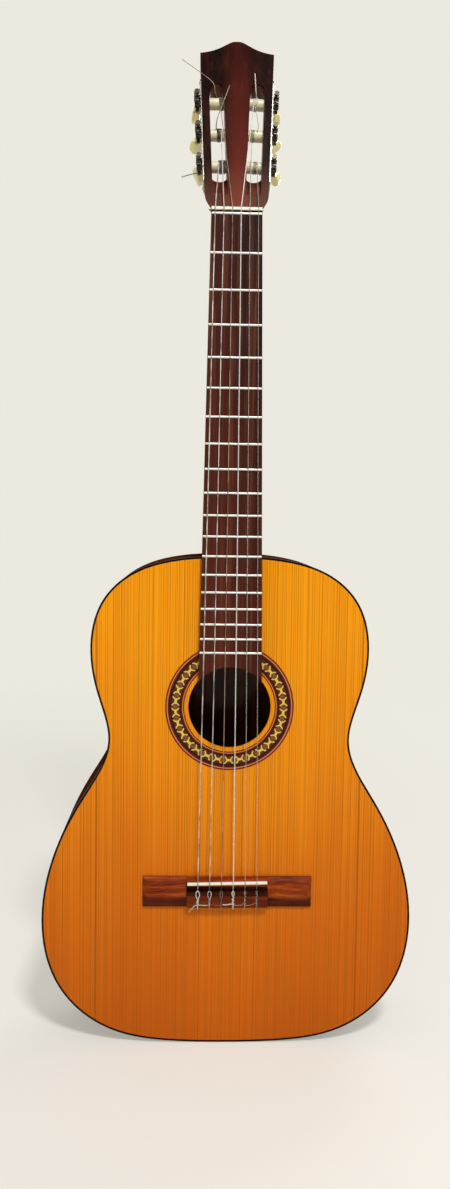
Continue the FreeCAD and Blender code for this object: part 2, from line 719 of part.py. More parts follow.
def wormSolid():
    """Single-start thread of flat facets on a many-sided core, about the Z axis."""
    pitchRadius = size("worm_pitch_radius")
    core = pitchRadius - 1.06 * size("gear_module")
    root = core - 0.5
    steps, turns = 10, 3
    count = steps * turns
    rings = []
    for k in range(count + 1):
        angle = 2 * math.pi * k / steps
        z = threadPitch * (k / steps - turns / 2)
        outer = core - 0.1 if k in (0, count) else wormOuter
        profile = [(r, side * flankHalf(r - pitchRadius))
                   for r, side in ((root, -1), (outer, -1), (outer, 1), (root, 1))]
        rings.append([Vector(r * math.cos(angle), r * math.sin(angle), z + offset) for r, offset in profile])
    faces = []

    def facet(*corners):
        faces.append(Part.Face(Part.makePolygon(list(corners) + [corners[0]])))

    for low, high in zip(rings, rings[1:]):
        for j in range(4):
            i = (j + 1) % 4
            facet(low[j], low[i], high[j])
            facet(low[i], high[i], high[j])
    for ring in (rings[0], rings[-1]):
        facet(ring[0], ring[1], ring[2])
        facet(ring[0], ring[2], ring[3])
    thread = Part.Solid(Part.Shell(faces))
    if thread.Volume < 0:
        thread.reverse()
    length = size("worm_length")
    corners = [Vector(core * math.cos(2 * math.pi * k / steps), core * math.sin(2 * math.pi * k / steps),
                      -length / 2) for k in range(steps + 1)]
    return Part.Face(Part.makePolygon(corners)).extrude(Vector(0, 0, length)).fuse(thread)


def shaftShape():
    """Worm with its journals, collars and the shank that carries the button, along +Y."""
    half = size("worm_length") / 2
    radius = size("shaft_radius")
    outside = half + 2 * size("face_gap") + size("bracket_thick")
    shaft = wormSolid()
    collar, deep = size("collar_radius"), size("collar_length")
    pieces = [Part.makeCylinder(radius, outside - half, Vector(0, 0, -outside)),
              Part.makeCylinder(collar, deep, Vector(0, 0, -outside - deep)),
              Part.makeCylinder(radius, size("button_start") + size("button_length") * 0.6 - half,
                                Vector(0, 0, half)),
              Part.makeCylinder(collar, deep, Vector(0, 0, outside))]
    shaft = shaft.fuse(pieces).removeSplitter()
    shaft.rotate(Vector(), Vector(0, 0, 1), 90)
    shaft.rotate(Vector(), Vector(1, 0, 0), -90)
    return shaft


def wheelShape():
    """Slanted-tooth wheel with its hub and screw, along +X, about the roller's axis."""
    module, teeth = size("gear_module"), int(size("gear_teeth"))
    outer, root = wheelRadius + 0.78 * module, wheelRadius - 1.06 * module
    half = size("gear_width") / 2
    lead = math.atan(threadPitch / (2 * math.pi * size("worm_pitch_radius")))

    def section(x, twist):
        corners = []
        for k in range(teeth):
            centre = 2 * math.pi * k / teeth + twist
            foot = flankHalf(root - wheelRadius) / root
            tip = 0.8 * flankHalf(outer - wheelRadius) / outer
            for radius, angle in ((root, -foot), (outer, -tip), (outer, tip), (root, foot)):
                corners.append(Vector(x, radius * math.sin(centre + angle), radius * math.cos(centre + angle)))
        return Part.makePolygon(corners + corners[:1])

    twist = half * math.tan(lead) / wheelRadius
    gear = Part.makeLoft([section(shaftX - half, twist), section(shaftX + half, -twist)], True, True)
    hub = Part.makeCylinder(size("spindle_radius"), shaftX + size("face_gap"),
                            Vector(-size("face_gap"), 0, 0), Vector(1, 0, 0))
    face = shaftX + half
    screw = Part.makeCylinder(size("wheel_screw_radius"), 1.0, Vector(face, 0, 0), Vector(1, 0, 0))
    slot = Part.makeBox(2, 9, 0.9, Vector(face + 0.5, -4.5, -0.45))
    return gear.fuse([hub, screw]).cut(slot).removeSplitter()


def rollerShape(share):
    """Plastic roller across the slot, its string hole at a share of the slot's width."""
    start = -size("face_gap")
    end = -(size("cheek") + size("slot_width") + size("roller_tip") - size("face_gap"))
    roller = Part.makeCylinder(size("roller_radius"), start - end, Vector(end, 0, 0), Vector(1, 0, 0))
    x = rollerX(share)
    hole = Part.makeCylinder(size("roller_hole"), 20, Vector(x, -10, 0), Vector(0, 1, 0))
    return roller.cut(hole)


def rollerX(share):
    """Place across the slot in the side frame; share 0 is at the middle strip."""
    return -size("cheek") - size("slot_width") * (1 - share)


def makeButton(label):
    """Flat winged button with rounded edges, its shaft hole along Z."""
    body = newBody(label)
    sketch = sketchOn(body, label + "_outline", "XZ_Plane")
    drawPolygon(sketch, [("-Sizes.button_width * 0.3", "0"), ("Sizes.button_width * 0.3", "0"),
                         ("Sizes.button_width / 2", "Sizes.button_length * 0.42"),
                         ("Sizes.button_width / 2", "Sizes.button_length * 0.78"),
                         ("Sizes.button_width * 0.36", "Sizes.button_length"),
                         ("-Sizes.button_width * 0.36", "Sizes.button_length"),
                         ("-Sizes.button_width / 2", "Sizes.button_length * 0.78"),
                         ("-Sizes.button_width / 2", "Sizes.button_length * 0.42")])
    plate = pad(body, label + "_pad", sketch, "Sizes.button_thick", middle=True)
    bore = sketchOn(body, label + "_bore", "XY_Plane")
    drawCircle(bore, "0", "0", "Sizes.shaft_radius")
    pocket(body, label + "_hole", bore, "Sizes.button_length * 0.6", back=True)
    doc.recompute()
    edges = [f"Edge{i + 1}" for i, edge in enumerate(body.Shape.Edges)
             if edge.Curve.TypeId == "Part::GeomLine" and abs(abs(edge.CenterOfMass.y)
                                                             - size("button_thick") / 2) < 1e-4]
    bored = body.Tip
    fillet = body.newObject("PartDesign::Fillet", label + "_edges")
    fillet.Base = (bored, edges)
    fillet.setExpression("Radius", "Sizes.button_thick * 0.2")
    return body


def makePlate():
    """Side plate with a pair of brackets for each worm shaft, for the treble side."""
    thick, wide, margin = size("plate_thick"), size("plate_width"), size("plate_margin")
    low, high = rollerZs[0] - margin, rollerZs[-1] + margin
    plate = Part.makeBox(thick, wide, high - low, Vector(0, -wide / 2, low))
    plate = plate.makeFillet(wide * 0.3, [edge for edge in plate.Edges
                                          if abs(edge.tangentAt(edge.FirstParameter).x) > 0.9])
    tabs, holes = [], []
    for z in rollerZs:
        axisZ = z + centreDistance
        holes.append(Part.makeCylinder(size("spindle_radius") + size("running_gap"), 4 * thick,
                                       Vector(-thick, 0, z), Vector(1, 0, 0)))
        inner = size("worm_length") / 2 + size("face_gap")
        for y in (inner, -inner - size("bracket_thick")):
            half = size("bracket_width") / 2
            tab = Part.makeBox(shaftX, size("bracket_thick"), 2 * half, Vector(0, y, axisZ - half))
            crown = Part.makeCylinder(half, size("bracket_thick"), Vector(shaftX, y, axisZ), Vector(0, 1, 0))
            tabs.append(tab.fuse(crown))
        holes.append(Part.makeCylinder(size("shaft_radius") + size("running_gap"), wide,
                                       Vector(shaftX, -wide / 2, axisZ), Vector(0, 1, 0)))
    plate = plate.fuse(tabs).removeSplitter()
    for hole in holes:
        plate = plate.cut(hole)
    return plate


def plateScrews():
    """Round screw heads that hold the plate: one at each end and one between the rollers."""
    thick, radius = size("plate_thick"), size("plate_screw_radius")
    heads = []
    edge, lift = radius + 1.8, size("roller_spacing") * 0.1
    spots = [rollerZs[0] - size("plate_margin") + edge, (rollerZs[0] + rollerZs[1]) / 2 + lift,
             (rollerZs[1] + rollerZs[2]) / 2 + lift, rollerZs[2] + size("plate_margin") - edge]
    for z in spots:
        for y in (-size("plate_width") / 4, size("plate_width") / 4):
            dome = Part.makeSphere(radius * 1.2, Vector(thick - radius * 0.66, y, z))
            heads.append(dome.common(Part.makeBox(9, 9, 9, Vector(thick, y - 4.5, z - 4.5))))
    return Part.makeCompound(heads)


def makeTuners():
    mirrorAxis = Vector(1, 0, 0)

    def place(shape, label, side, local=Placement()):
        placed = shape.copy()
        placed.Placement = sideFrame.multiply(local).multiply(placed.Placement)
        if side == "bass":
            placed = placed.mirror(Vector(), mirrorAxis)
        return feature(label, placed)

    shaft, wheel, plate, screws = shaftShape(), wheelShape(), makePlate(), plateScrews()
    for side in ("treble", "bass"):
        place(plate, f"tuner_plate_{side}", side)
        place(screws, f"plate_screws_{side}", side)
    for k in range(6):
        side = "treble" if k < 3 else "bass"
        number = k % 3
        string = number + 1 if side == "treble" else 6 - number
        turn = keyAngles[k]
        z = rollerZs[number]
        share = rollerShares[6 - string]
        along = Placement(Vector(shaftX, 0, z + centreDistance), Rotation(Vector(0, 1, 0), turn))
        place(shaft, f"worm_shaft_{string}", side, along)
        about = Placement(Vector(0, 0, z), Rotation(Vector(1, 0, 0), turn / size("gear_teeth")))
        place(wheel, f"worm_wheel_{string}", side, about)
        place(rollerShape(share), f"roller_{string}", side, about)
        button = makeButton(f"button_{string}_source")
        doc.recompute()
        seat = Placement(Vector(0, size("button_start"), 0), Rotation(Vector(1, 0, 0), -90))
        place(button.Shape, f"button_{string}", side, along.multiply(seat))


# ---------------------------------------------------------------- bridge and strings

bridgeTop = ("(Sizes.body_length - Sizes.scale_length / 2 - Sizes.saddle_setback"
             " + Sizes.saddle_from_front)")


def drawSaddle(sketch):
    """The saddle's slanted plan, drawn on an upright plane."""
    half = "Sizes.saddle_width / 2"
    middle = f"{bridgeTop} - Sizes.saddle_from_front"
    lean = f"{half} * tan(Sizes.saddle_slant * 1 deg)"
    thick = "Sizes.saddle_thick / 2"
    drawPolygon(sketch, [(f"-{half}", f"{middle} - {lean} - {thick}"),
                         (half, f"{middle} + {lean} - {thick}"),
                         (half, f"{middle} + {lean} + {thick}"),
                         (f"-{half}", f"{middle} - {lean} + {thick}")])


def makeBridge():
    """Bridge: ridged wings and a middle block with saddle slot, channel and tie block."""
    body = newBody("bridge")
    length, tall, wing = "Sizes.bridge_length", "Sizes.bridge_height", "Sizes.wing_height"
    edge, tie, channel = "Sizes.wing_edge", "Sizes.tie_start", "Sizes.channel_height"

    def profile(name, points):
        sketch = sketchOn(body, name, "YZ_Plane")
        drawPolygon(sketch, [("0" if up == "0" else f"-({up})", f"{bridgeTop} - ({down})")
                             for down, up in points])
        return sketch

    wings = profile("wing_profile", [("0", "0"), ("0", edge), (f"{length} * 0.1", f"{wing} * 0.85"),
                                     (f"{length} * 0.6", wing), (length, edge), (length, "0")])
    pad(body, "wings", wings, "Sizes.bridge_width", middle=True)
    bevel = sketchOn(body, "wing_ends", "XY_Plane")
    for sign in ("-", ""):
        half = f"{sign}Sizes.bridge_width / 2"
        inward = "+" if sign else "-"
        drawPolygon(bevel, [(half, f"-{edge} * 0.5"),
                            (f"{half} {inward} Sizes.wing_bevel", f"-{wing} - 0.1"),
                            (half, f"-{wing} - 0.1")])
    pocket(body, "wing_bevels", bevel, middle=True)
    middle = profile("middle_profile", [("0", "0"), ("0", edge), ("1.4", tall), (f"{length} - 2.5", tall),
                                        (length, f"{tall} - 3"), (length, "0")])
    pad(body, "middle_block", middle, "Sizes.bridge_middle", middle=True)
    behind = "Sizes.saddle_from_front + Sizes.saddle_thick / 2 + 1.2"
    trough = profile("channel_profile", [(behind, f"{tall} + 0.1"), (f"{behind} + 1.5", channel),
                                         (tie, channel), (tie, f"{tall} + 0.1")])
    pocket(body, "channel", trough, "Sizes.bridge_middle + 0.02", middle=True)
    slot = sketchOn(body, "saddle_slot_plan", "XZ_Plane",
                    "Sizes.bridge_height - Sizes.saddle_depth")
    drawSaddle(slot)
    pocket(body, "saddle_slot", slot, "Sizes.saddle_depth + 1", back=True)
    holes = sketchOn(body, "string_hole_plan", "XY_Plane", f"{bridgeTop} - {length} - 1")
    for k in range(6):
        drawCircle(holes, f"{stringPlace(k)} * Sizes.spacing_at_saddle",
                   "-Sizes.tie_hole_height", "Sizes.tie_hole_radius")
    pocket(body, "string_holes", holes, f"{length} - {tie} + 3", back=True)
    keep(body, "bridge")


def makeSaddle():
    body = newBody("saddle")
    plan = sketchOn(body, "saddle_plan", "XZ_Plane",
                    "Sizes.bridge_height - Sizes.saddle_depth")
    drawSaddle(plan)
    block = pad(body, "saddle_pad", plan, "Sizes.saddle_depth + Sizes.saddle_proud")
    doc.recompute()
    top = frontY - size("bridge_height") - size("saddle_proud")
    edges = [f"Edge{i + 1}" for i, edge in enumerate(body.Shape.Edges)
             if edge.Length > size("saddle_width") - 1 and abs(edge.CenterOfMass.y - top) < 1e-4]
    crown = body.newObject("PartDesign::Fillet", "saddle_crown")
    crown.Base = (block, edges)
    crown.setExpression("Radius", "Sizes.saddle_thick * 0.4")
    keep(body, "saddle")


def tube(points, radius):
    """A taut string: straight runs joined by tangent bends, small at sharp corners."""
    solids = []
    last = points[0]
    expected = 0
    for before, corner, after in zip(points, points[1:], points[2:]):
        back = (before - corner).normalize()
        ahead = (after - corner).normalize()
        turn = math.pi - back.getAngle(ahead)
        bend = radius * (2.2 if turn > math.radians(30) else 12)
        shorter = min((before - corner).Length, (after - corner).Length)
        reach = min(bend * math.tan(turn / 2), 0.45 * shorter)
        bend = reach / math.tan(turn / 2)
        start, end = corner + back * reach, corner + ahead * reach
        centre = corner + (back + ahead).normalize() * (bend / math.cos(turn / 2))
        solids.append(Part.makeCylinder(radius, (start - last).Length, last, start - last))
        disc = Part.Face(Part.Wire(Part.makeCircle(radius, start, back)))
        solids.append(disc.revolve(centre, ahead.cross(back), math.degrees(turn)))
        expected += bend * turn + (start - last).Length
        last = end
    solids.append(Part.makeCylinder(radius, (points[-1] - last).Length, last, points[-1] - last))
    expected += (points[-1] - last).Length
    string = solids[0].fuse(solids[1:]).removeSplitter()
    if len(string.Solids) != 1 or abs(string.Volume / (math.pi * radius ** 2 * expected) - 1) > 0.01:
        raise RuntimeError("a string's tube came out wrong")
    return string.Solids[0]


def bridgePoint(x, down, up):
    return Vector(x, frontY - up, bridgeTopZ - down)


def makeStrings():
    for k, radius in enumerate(stringRadii):
        string = 6 - k
        seat = radius + size("string_seat")
        saddleX = stringPlace(k) * size("spacing_at_saddle")
        nutX = stringPlace(k) * size("spacing_at_nut")
        slant = saddleX * math.tan(math.radians(size("saddle_slant")))
        tall = size("bridge_height")
        crown = frontY - tall - size("saddle_proud") - seat
        crest = size("saddle_thick") * 0.3
        overSaddle = [Vector(saddleX, crown, saddleZ + slant - crest),
                      Vector(saddleX, crown, saddleZ + slant + crest)]
        hole = size("tie_hole_height")
        rear = size("bridge_length") + seat + size("tie_slack")
        tie = [bridgePoint(saddleX, size("tie_start") + size("tie_eye"), tall + seat),
               bridgePoint(saddleX, rear - size("tie_rise"), tall + seat),
               bridgePoint(saddleX, rear, hole),
               bridgePoint(saddleX, size("tie_start") - size("tie_rise"), hole)]
        overFret = Vector(nutX, boardY - size("fret_height") - seat, zeroZ)
        overNut = Vector(nutX, boardY - size("fret_height") - seat + 0.4, nutTopZ)
        number = string - 1 if string < 4 else 6 - string
        local = headFrame.inverse().multVec(overNut)
        rollerSpot = sideFrame.multVec(Vector(rollerX(rollerShares[k]), 0, rollerZs[number]))
        rollerSpot = headFrame.inverse().multVec(rollerSpot)
        reach = size("roller_radius") + radius + size("face_gap")
        dy, dz = rollerSpot.y - local.y, rollerSpot.z - local.z
        distance = math.hypot(dy, dz)
        angle = math.atan2(dy, dz) - math.asin(reach / distance)
        run = math.sqrt(distance ** 2 - reach ** 2)
        side = 1 if string < 4 else -1
        end = Vector(side * abs(rollerSpot.x), local.y + run * math.sin(angle), local.z + run * math.cos(angle))
        onRoller = headFrame.multVec(end)
        feature(f"string_{string}", tube(tie + overSaddle + [overFret, overNut, onRoller], radius))


# ---------------------------------------------------------------- build

blocks = makeBlocks()
makeBodyWalls(blocks)
makeBraces()
makeNeck()
makeFretboard()
makeFrets()
makeNut()
makeTuners()
makeBridge()
makeSaddle()
makeStrings()
doc.recompute()

broken = [item.Label for item in doc.Objects if {"Invalid", "Error"} & set(item.State)]
if broken:
    raise RuntimeError("objects that failed: " + ", ".join(broken))
for item in pieces:
    if item.Shape.isNull() or not item.Shape.isValid():
        raise RuntimeError(item.Label + " has no valid shape")
os.makedirs("parts", exist_ok=True)
for item in pieces:
    item.Shape.exportStep(f"parts/{item.Label}.step")
print(len(pieces), "pieces written")
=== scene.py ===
import json
import math

import bpy
from mathutils import Matrix, Vector


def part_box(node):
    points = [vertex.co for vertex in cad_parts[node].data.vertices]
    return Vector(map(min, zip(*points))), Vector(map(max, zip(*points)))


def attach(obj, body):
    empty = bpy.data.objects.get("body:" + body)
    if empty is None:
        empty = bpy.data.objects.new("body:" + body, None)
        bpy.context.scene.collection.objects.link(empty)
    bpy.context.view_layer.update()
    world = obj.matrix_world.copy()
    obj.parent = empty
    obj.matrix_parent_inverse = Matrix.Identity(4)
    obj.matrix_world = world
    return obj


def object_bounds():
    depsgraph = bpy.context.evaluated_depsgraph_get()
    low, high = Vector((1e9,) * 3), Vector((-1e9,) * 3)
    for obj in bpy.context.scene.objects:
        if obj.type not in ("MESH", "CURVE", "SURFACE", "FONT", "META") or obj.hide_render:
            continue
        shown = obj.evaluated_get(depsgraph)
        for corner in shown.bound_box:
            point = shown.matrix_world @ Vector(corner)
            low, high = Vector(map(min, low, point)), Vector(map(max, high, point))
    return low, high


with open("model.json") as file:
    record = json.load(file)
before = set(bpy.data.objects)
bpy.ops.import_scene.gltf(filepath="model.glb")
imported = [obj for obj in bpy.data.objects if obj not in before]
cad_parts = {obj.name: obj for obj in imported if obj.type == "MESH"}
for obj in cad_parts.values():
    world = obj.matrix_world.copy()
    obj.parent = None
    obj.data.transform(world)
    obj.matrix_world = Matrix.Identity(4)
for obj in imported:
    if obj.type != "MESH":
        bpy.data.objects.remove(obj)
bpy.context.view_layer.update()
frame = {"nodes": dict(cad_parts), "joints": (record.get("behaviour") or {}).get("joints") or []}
bpy.context.scene.view_settings.view_transform = "Standard"
nodes = frame["nodes"]
turnAxes = {joint["name"]: joint for joint in frame["joints"]}
print("guitar loaded:", len(nodes), "pieces")


view = {
    "place": (-0.0328, -0.8793, 0.5345),
    "turn": -1.74,  # degrees to the side
    "tip": -4.70,  # degrees down
    "roll": -0.79,
    "lens": 27.07,
}
room = {
    "backdrop": "ECE9DF",
    "sky": "F4F1EC",
    "skyStrength": 0.42,
    "dimSide": "2A2622",  # what gloss mirrors of the room in front of the guitar
    "dimFrom": 0.25,  # that side starts and ends at these headings, 1 is straight behind
    "dimTo": -0.45,
}
floor = {
    "reach": 9.0,  # metres each way
    "drop": 0.0005,  # under the guitar
    "colour": "F0EDE6",
    "cloudy": "DAD6CE",
    "cloudiness": 0.05,
    "cloudScale": 2.5,
    "paleness": 0.4,  # under the guitar, towards the backdrop's colour
    "fadeFrom": 0.45,  # the floor fades into the backdrop between these distances
    "fadeTo": 2.2,
}
lamps = {
    "key": {"place": (0.38, -1.45, 2.25), "size": 0.35, "power": 46},
    "fill": {"place": (-1.9, -1.3, 0.35), "size": 1.6, "power": 9},
    "behind": {"place": (1.3, 2.2, 1.5), "size": 1.8, "power": 26},
}
lampAim = (0, 0, 0.45)


def colour(code):
    parts = [int(code[k:k + 2], 16) / 255 for k in (0, 2, 4)]
    return [part / 12.92 if part < 0.04045 else ((part + 0.055) / 1.055) ** 2.4 for part in parts] + [1.0]


def placeCamera():
    camera = bpy.data.objects.new("camera", bpy.data.cameras.new("camera"))
    camera.data.lens = view["lens"]
    camera.data.clip_start = 0.01
    turn = (Matrix.Rotation(math.radians(view["turn"]), 4, "Z")
            @ Matrix.Rotation(math.radians(90 + view["tip"]), 4, "X")
            @ Matrix.Rotation(math.radians(-view["roll"]), 4, "Z"))
    camera.matrix_world = Matrix.Translation(view["place"]) @ turn
    bpy.context.scene.collection.objects.link(camera)
    bpy.context.scene.camera = camera


def placeLamps():
    for name, lamp in lamps.items():
        light = bpy.data.lights.new(name, "AREA")
        light.size = lamp["size"]
        light.energy = lamp["power"]
        item = bpy.data.objects.new(name, light)
        item.location = lamp["place"]
        aim = Vector(lampAim) - Vector(lamp["place"])
        item.rotation_euler = aim.to_track_quat("-Z", "Y").to_euler()
        bpy.context.scene.collection.objects.link(item)


def addNode(tree, kind, inputs=None, **settings):
    node = tree.nodes.new("ShaderNode" + kind)
    for key, value in settings.items():
        setattr(node, key, value)
    for key, value in (inputs or {}).items():
        if isinstance(value, bpy.types.NodeSocket):
            tree.links.new(value, node.inputs[key])
        else:
            node.inputs[key].default_value = value
    return node


def calc(tree, operation, *values):
    return addNode(tree, "Math", dict(enumerate(values)), operation=operation).outputs[0]


def times(tree, first, second):
    return calc(tree, "MULTIPLY", first, second)


def plus(tree, first, second):
    return calc(tree, "ADD", first, second)


def minus(tree, first, second):
    return calc(tree, "SUBTRACT", first, second)


def absolute(tree, value):
    return calc(tree, "ABSOLUTE", value)


def over(tree, value, limit):
    return calc(tree, "GREATER_THAN", value, limit)


def under(tree, value, limit):
    return calc(tree, "LESS_THAN", value, limit)


def ease(tree, value, start, end, low=0.0, high=1.0, smooth=True):
    return addNode(tree, "MapRange", {"Value": value, "From Min": start, "From Max": end,
                                      "To Min": low, "To Max": high},
                   interpolation_type="SMOOTHSTEP" if smooth else "LINEAR").outputs[0]


def distance(tree, first, second):
    return calc(tree, "SQRT", plus(tree, calc(tree, "POWER", first, 2.0), calc(tree, "POWER", second, 2.0)))


def objectSpot(tree):
    return addNode(tree, "TexCoord").outputs["Object"]


def axesOf(tree, spot):
    return addNode(tree, "SeparateXYZ", {0: spot}).outputs


def join(tree, x, y, z):
    return addNode(tree, "CombineXYZ", {0: x, 1: y, 2: z}).outputs[0]


def cloud(tree, spot, scale=1.0, detail=3.0, roughness=0.55):
    return addNode(tree, "TexNoise", {"Vector": spot, "Scale": scale, "Detail": detail,
                                      "Roughness": roughness}).outputs["Fac"]


def shades(tree, amount, stops, smooth="LINEAR"):
    ramp = addNode(tree, "ValToRGB", {0: amount})
    ramp.color_ramp.interpolation = smooth
    points = ramp.color_ramp.elements
    while len(points) < len(stops):
        points.new(0.5)
    for point, (position, shade) in zip(points, stops):
        point.position = position
        point.color = colour(shade) if isinstance(shade, str) else (shade, shade, shade, 1)
    return ramp.outputs[0]


def blendColours(tree, amount, first, second):
    mix = addNode(tree, "Mix", data_type="RGBA")
    for socket, value in ((0, amount), (6, first), (7, second)):
        if isinstance(value, bpy.types.NodeSocket):
            tree.links.new(value, mix.inputs[socket])
        else:
            mix.inputs[socket].default_value = value
    return mix.outputs[2]


def newFinish(name, sockets):
    finish = bpy.data.materials.new(name)
    finish.use_nodes = True
    tree = finish.node_tree
    shader = tree.nodes["Principled BSDF"]
    for socket, value in sockets.items():
        shader.inputs[socket].default_value = value
    return finish, tree, shader


def addBump(tree, shader, height, strength, depth):
    bump = addNode(tree, "Bump", {"Height": height, "Strength": strength, "Distance": depth})
    tree.links.new(bump.outputs[0], shader.inputs["Normal"])


def paint(tree, shader, shade):
    tree.links.new(shade, shader.inputs["Base Color"])


def seenRay(tree):
    path = addNode(tree, "LightPath")
    seen = calc(tree, "MAXIMUM", path.outputs["Is Camera Ray"], path.outputs["Is Glossy Ray"])
    return calc(tree, "MAXIMUM", seen, path.outputs["Is Transmission Ray"])


def makeSky():
    world = bpy.data.worlds.new("room")
    world.use_nodes = True
    tree = world.node_tree
    light = tree.nodes["Background"]
    light.inputs["Color"].default_value = colour(room["sky"])
    light.inputs["Strength"].default_value = room["skyStrength"]
    heading = axesOf(tree, addNode(tree, "TexCoord").outputs["Generated"])
    front = ease(tree, heading["Y"], room["dimFrom"], room["dimTo"])
    mirrored = times(tree, front, addNode(tree, "LightPath").outputs["Is Glossy Ray"])
    shown = addNode(tree, "Background", {"Color": blendColours(tree, mirrored, colour(room["backdrop"]),
                                                               colour(room["dimSide"]))})
    mix = addNode(tree, "MixShader", {0: seenRay(tree), 1: light.outputs[0], 2: shown.outputs[0]})
    tree.links.new(mix.outputs[0], tree.nodes["World Output"].inputs["Surface"])
    bpy.context.scene.world = world


def floorFinish():
    finish, tree, shader = newFinish("studio_floor_paint", {"Roughness": 0.9, "Specular IOR Level": 0.1})
    spot = objectSpot(tree)
    marks = times(tree, cloud(tree, spot, scale=floor["cloudScale"]), floor["cloudiness"])
    paint(tree, shader, blendColours(tree, marks, colour(floor["colour"]), colour(floor["cloudy"])))
    away = addNode(tree, "VectorMath", {0: spot}, operation="LENGTH").outputs["Value"]
    fade = ease(tree, away, floor["fadeFrom"], floor["fadeTo"], low=floor["paleness"])
    shown = addNode(tree, "Emission", {"Color": colour(room["backdrop"])})
    mix = addNode(tree, "MixShader", {0: times(tree, fade, seenRay(tree)), 1: shader.outputs[0],
                                      2: shown.outputs[0]})
    tree.links.new(mix.outputs[0], tree.nodes["Material Output"].inputs["Surface"])
    return finish


spruce = {
    "tones": [(0.0, "B44E04"), (0.28, "C65E06"), (0.45, "D06C07"), (0.67, "E08409"), (0.92, "E89209")],
    "toneTop": 0.46,  # metres up the guitar where the last tone would be reached
    "patches": 0.36,  # how far broad patches stray from that
    "golden": 0.13,  # how far the middle leans to the brighter tones
    "goldenHalf": 0.12,
    "line": "8E4204",
    "rings": 400,  # per metre
    "uneven": 9,  # rings
    "lean": 0.006,  # metres
    "lineSharpness": 2.6,
    "lineStrength": [(0.34, 0.25), (0.47, 0.62), (0.58, 1.0)],
    "fibre": "F4A410",
    "fibreStrength": 0.10,
    "gloss": 0.12,
    # how fine each pattern is across, its shift, and how fine it is along
    "leanGrain": (7, 0.3, 1.3),
    "unevenGrain": (70, 0.6, 0.0),
    "groupGrain": (190, 3.1, 0.9),
    "patchGrain": (16, 1.7, 1.8),
    "fibreGrain": (2600, 0, 46),
}


def grain(tree, across, along, pattern, **noise):
    wide, shift, long = spruce[pattern]
    return cloud(tree, join(tree, times(tree, across, wide), shift, times(tree, along, long)), **noise)


def spruceTop():
    finish, tree, shader = newFinish("spruce_lacquered", {
        "Roughness": 0.4, "Specular IOR Level": 0.05,
        "Coat Weight": spruce["gloss"], "Coat Roughness": 0.08})
    axes = axesOf(tree, objectSpot(tree))
    along = axes["Z"]
    across = absolute(tree, axes["X"])  # the two halves are book-matched
    lean = grain(tree, across, along, "leanGrain", detail=1)
    ring = plus(tree, across, times(tree, lean, spruce["lean"]))
    uneven = grain(tree, ring, along, "unevenGrain", detail=2)
    count = plus(tree, times(tree, ring, spruce["rings"]), times(tree, uneven, spruce["uneven"]))
    # each ring ends in a thin dark line
    late = calc(tree, "POWER", calc(tree, "FRACT", count), spruce["lineSharpness"])
    groups = grain(tree, ring, along, "groupGrain", detail=3, roughness=0.7)
    strength = shades(tree, groups, spruce["lineStrength"])
    patches = minus(tree, grain(tree, axes["X"], along, "patchGrain", detail=3), 0.5)
    # painted shade: the tones run darker and redder towards the tail, standing in for the lamp's light
    # falling off downwards
    height = ease(tree, along, 0.0, spruce["toneTop"], smooth=False)
    golden = ease(tree, across, spruce["goldenHalf"], 0.0, high=spruce["golden"])
    toneAndPaintedFalloff = plus(tree, plus(tree, height, times(tree, patches, spruce["patches"])), golden)
    base = shades(tree, toneAndPaintedFalloff, spruce["tones"])
    base = blendColours(tree, times(tree, late, strength), base, colour(spruce["line"]))
    fibres = grain(tree, axes["X"], along, "fibreGrain", detail=2)
    base = blendColours(tree, times(tree, fibres, spruce["fibreStrength"]), base, colour(spruce["fibre"]))
    paint(tree, shader, base)
    addBump(tree, shader, plus(tree, late, fibres), 0.05, 0.0001)
    return finish


woodGrain = {
    "bend": 9.0,  # how often the streaks wander
    "fineness": 6,  # of the fine streaks, against the broad ones
    "broad": 0.72,  # share of each in the tone
    "fine": 0.28,
    "tonesAt": (0.34, 0.5, 0.68),
    "pores": 900,
    "poreEdge": [(0.56, 0.0), (0.66, 1.0)],
    "poreLength": 0.035,  # how fine they are along the grain, against across it
    "poreDark": 0.45,
    "poreDepth": 0.0003,
}


def wood(name, tones, streaks, gloss, stretch=0.02, along="Z", roughness=0.42, shine=0.06, tintAndPaintedLight=None):
    finish, tree, shader = newFinish(name, {"Roughness": roughness, "Coat Weight": gloss,
                                            "Coat Roughness": 0.15, "Specular IOR Level": shine})
    spot = objectSpot(tree)
    axes = axesOf(tree, spot)

    def stretched(scale, pull):
        return [times(tree, axes[key], scale * (pull if key in along else 1.0)) for key in "XYZ"]

    slow = addNode(tree, "VectorMath", {0: spot, "Scale": woodGrain["bend"]}, operation="SCALE").outputs[0]
    bend = cloud(tree, slow, detail=1)
    bent = addNode(tree, "VectorMath", {0: join(tree, *stretched(streaks, stretch)),
                                        1: join(tree, bend, 0.0, bend)}, operation="ADD").outputs[0]
    broad = cloud(tree, bent, detail=6, roughness=0.62)
    fine = cloud(tree, join(tree, *stretched(streaks * woodGrain["fineness"], stretch)), detail=3)
    mixed = plus(tree, times(tree, broad, woodGrain["broad"]), times(tree, fine, woodGrain["fine"]))
    base = shades(tree, mixed, list(zip(woodGrain["tonesAt"], tones)))
    pores = cloud(tree, join(tree, *stretched(woodGrain["pores"], woodGrain["poreLength"])), detail=2)
    pores = shades(tree, pores, woodGrain["poreEdge"])
    base = blendColours(tree, times(tree, pores, woodGrain["poreDark"]), base, colour(tones[0]))
    # extra tint; on the head it adds a painted highlight and on the bridge painted shade
    if tintAndPaintedLight:
        base = tintAndPaintedLight(tree, axes["X"], axes["Z"], base)
    paint(tree, shader, base)
    addBump(tree, shader, pores, -0.3, woodGrain["poreDepth"])
    return finish


plainFinish = {
    "darker": 3,  # times the spread
    "lighter": 2,
    "grimeFineness": 2.3,
    "grimeEdge": [(0.52, 0.0), (0.7, 0.8)],
    "rubFineness": 4,
    "rubFrom": 0.7,  # shares of the roughness
    "rubTo": 1.35,
}


